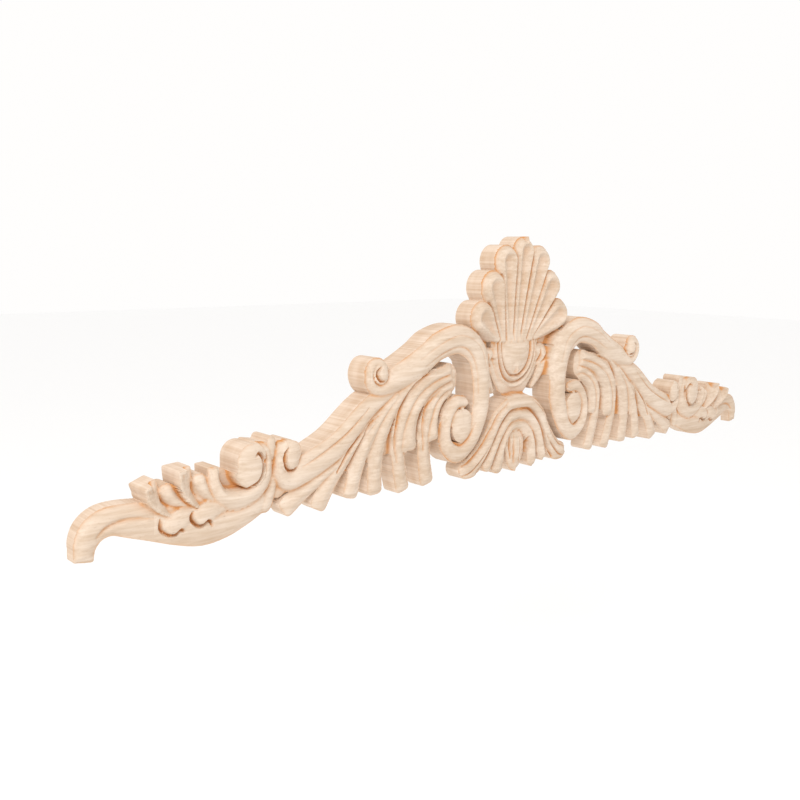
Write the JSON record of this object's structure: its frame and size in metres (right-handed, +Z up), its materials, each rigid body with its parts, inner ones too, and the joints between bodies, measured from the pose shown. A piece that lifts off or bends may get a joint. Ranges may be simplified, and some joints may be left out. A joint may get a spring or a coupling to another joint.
{
  "type": "acanthus wood applique",
  "caption": "Long carved wood pediment onlay with a flat back: a shell over a small palmette, scrolling acanthus on each side and hooked leaf tails.",
  "frame": {"origin": "on the flat back, on the centre line, where the palmette under the shell covers it", "axes": "+X along the length to the viewer's right, +Y out of the flat back towards what it is fixed to, +Z up towards the shell; the carving faces -Y"},
  "size_m": [0.6, 0.0199, 0.1582],
  "materials": {
    "wood": "unfinished pale hardwood, carved and sanded"
  },
  "bodies": {
    "root": {"carved_applique": "wood"}
  },
  "joints": []
}
